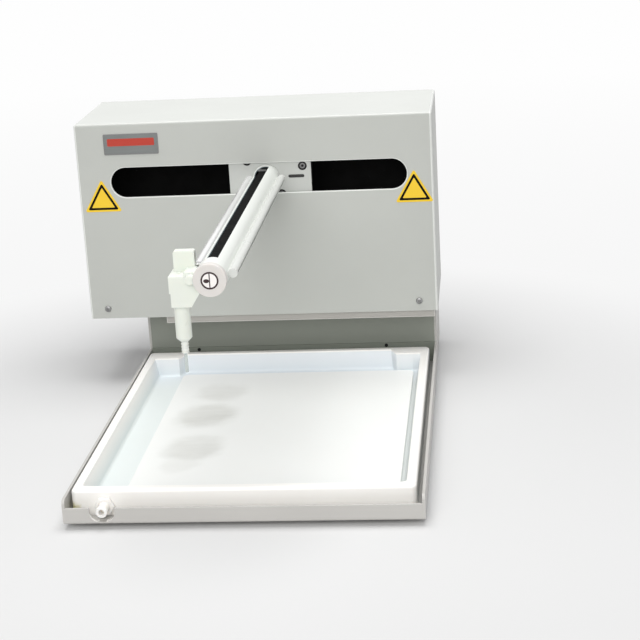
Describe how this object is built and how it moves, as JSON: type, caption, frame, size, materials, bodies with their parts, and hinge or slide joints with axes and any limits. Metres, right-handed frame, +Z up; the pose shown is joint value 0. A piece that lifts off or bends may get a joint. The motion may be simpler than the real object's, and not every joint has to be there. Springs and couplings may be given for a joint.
{
  "type": "fraction collector",
  "caption": "Bench-top fraction collector: an arm travels along a slotted housing and a dispensing head along the arm, over a drained spill tray for tube racks.",
  "frame": {"origin": "middle of the whole footprint, on the table", "axes": "+Z up, the open tray and the arm point to -Y, the housing stands at +Y"},
  "size_m": [0.3, 0.428, 0.2315],
  "materials": {
    "pan_paint": "light grey textured paint",
    "cover_paint": "light grey satin paint",
    "rear_paint": "light grey satin paint",
    "beam_paint": "light grey satin paint",
    "recess_paint": "mid grey satin paint",
    "strip_paint": "mid grey satin paint",
    "carriage_paint": "light grey satin paint",
    "arm_paint": "white gloss paint",
    "motor_black": "black satin paint",
    "chassis_steel": "zinc plated",
    "screw_steel": "plated, dull",
    "dark_screw": "black finish",
    "pin_steel": "ground",
    "socket_metal": "tin plated",
    "shaft_chrome": "polished",
    "plate_metal": "satin",
    "bracket_metal": "satin",
    "pulley_metal": "machined",
    "bush_brass": "machined",
    "belt_rubber": "matt, toothed",
    "foot_rubber": "matt",
    "tray_plastic": "white satin moulding",
    "insert_plastic": "white satin sheet",
    "spout_plastic": "white satin",
    "rail_plastic": "white satin extrusion",
    "cap_plastic": "white satin",
    "block_plastic": "white satin",
    "head_plastic": "white satin",
    "tip_plastic": "natural white",
    "tubing_clear": "translucent",
    "carriage_plastic": "black moulding",
    "shroud_black": "black matt",
    "inlet_black": "black matt",
    "chip_black": "black matt",
    "rocker_black": "black gloss",
    "board_green": "green lacquer",
    "sticker_film": "yellow film",
    "label_film": "white film with a dark ring"
  },
  "bodies": {
    "chassis": {"base_pan": "pan_paint", "rubber_feet": "foot_rubber", "spill_tray": "tray_plastic", "drain_spout": "spout_plastic", "tray_insert": "insert_plastic", "recess_wall": "recess_paint", "stop_strip": "strip_paint", "stop_screws": "screw_steel", "cross_beam": "beam_paint", "stand_rear_panel": "rear_paint", "chassis_floor": "chassis_steel", "housing_cover": "cover_paint", "cover_screws": "screw_steel", "rear_panel": "rear_paint", "rear_screws": "screw_steel", "name_plate": "plate_metal", "triangle_stickers": "sticker_film", "left_end_bracket": "bracket_metal", "right_end_bracket": "bracket_metal", "cross_shafts": "shaft_chrome", "slot_shroud": "shroud_black", "cross_belt": "belt_rubber", "cross_idler_pin": "pin_steel", "cross_motor": "motor_black", "home_sensor": "chip_black", "circuit_board": "board_green", "board_standoffs": "bush_brass", "board_parts": "chip_black", "data_socket": "socket_metal", "power_inlet": "inlet_black", "switch_body": "inlet_black"},
    "cross_drive": {"cross_drive_pulley": "pulley_metal", "cross_motor_shaft": "pin_steel"},
    "cross_idler": {"cross_idler_pulley": "pulley_metal"},
    "arm_drive": {"arm_drive_pulley": "pulley_metal", "arm_motor_shaft": "pin_steel"},
    "arm_idler": {"arm_idler_pulley": "pulley_metal"},
    "carriage": {"carriage_plate": "carriage_paint", "carriage_screws": "dark_screw", "carriage_block": "carriage_plastic", "carriage_bushes": "bush_brass", "belt_clamp": "bracket_metal", "home_flag": "pin_steel", "arm_tube": "arm_paint", "arm_shaft": "shaft_chrome", "tubing_rail": "rail_plastic", "end_cap": "cap_plastic", "cap_label": "label_film", "idler_block": "block_plastic", "arm_idler_pin": "pin_steel", "arm_belt": "belt_rubber", "arm_motor": "motor_black"},
    "head": {"head_carriage": "head_plastic", "grip_screw": "pin_steel", "belt_clip": "pin_steel"},
    "dispenser": {"dispenser_barrel": "head_plastic", "dispenser_tip": "tip_plastic", "outlet_tube": "tubing_clear"},
    "rocker": {"switch_rocker": "rocker_black"}
  },
  "joints": [
    {"name": "cross_travel", "type": "slide", "parent": "chassis", "child": "carriage", "axis": [1, 0, 0], "range_m": [-0.112, 0.093]},
    {"name": "arm_travel", "type": "slide", "parent": "carriage", "child": "head", "axis": [0, 1, 0], "range_m": [0, 0.27]},
    {"name": "dispenser_height", "type": "slide", "parent": "head", "child": "dispenser", "axis": [0, 0, 1], "range_m": [0, 0.009]},
    {"name": "cross_drive_spin", "type": "hinge", "parent": "chassis", "child": "cross_drive", "pos_m": [0.13, 0.162, 0.1808], "axis": [0, 1, 0], "range_deg": [-1010, 840]},
    {"name": "cross_idler_spin", "type": "hinge", "parent": "chassis", "child": "cross_idler", "pos_m": [-0.13, 0.162, 0.1808], "axis": [0, 1, 0], "range_deg": [-1010, 840]},
    {"name": "arm_drive_spin", "type": "hinge", "parent": "carriage", "child": "arm_drive", "pos_m": [0.0088, 0.122, 0.1808], "axis": [1, 0, 0], "range_deg": [-2432, 0]},
    {"name": "arm_idler_spin", "type": "hinge", "parent": "carriage", "child": "arm_idler", "pos_m": [0.0088, -0.201, 0.1808], "axis": [1, 0, 0], "range_deg": [-2432, 0]},
    {"name": "rocker_tilt", "type": "hinge", "parent": "chassis", "child": "rocker", "pos_m": [0.096, 0.206, 0.096], "axis": [1, 0, 0], "range_deg": [-18, 0]}
  ],
  "couplings": [
    {"joint": "cross_drive_spin", "follows": "cross_travel", "rad_per_m": 156.99},
    {"joint": "cross_idler_spin", "follows": "cross_travel", "rad_per_m": 156.99},
    {"joint": "arm_drive_spin", "follows": "arm_travel", "rad_per_m": -156.99},
    {"joint": "arm_idler_spin", "follows": "arm_travel", "rad_per_m": -156.99}
  ]
}
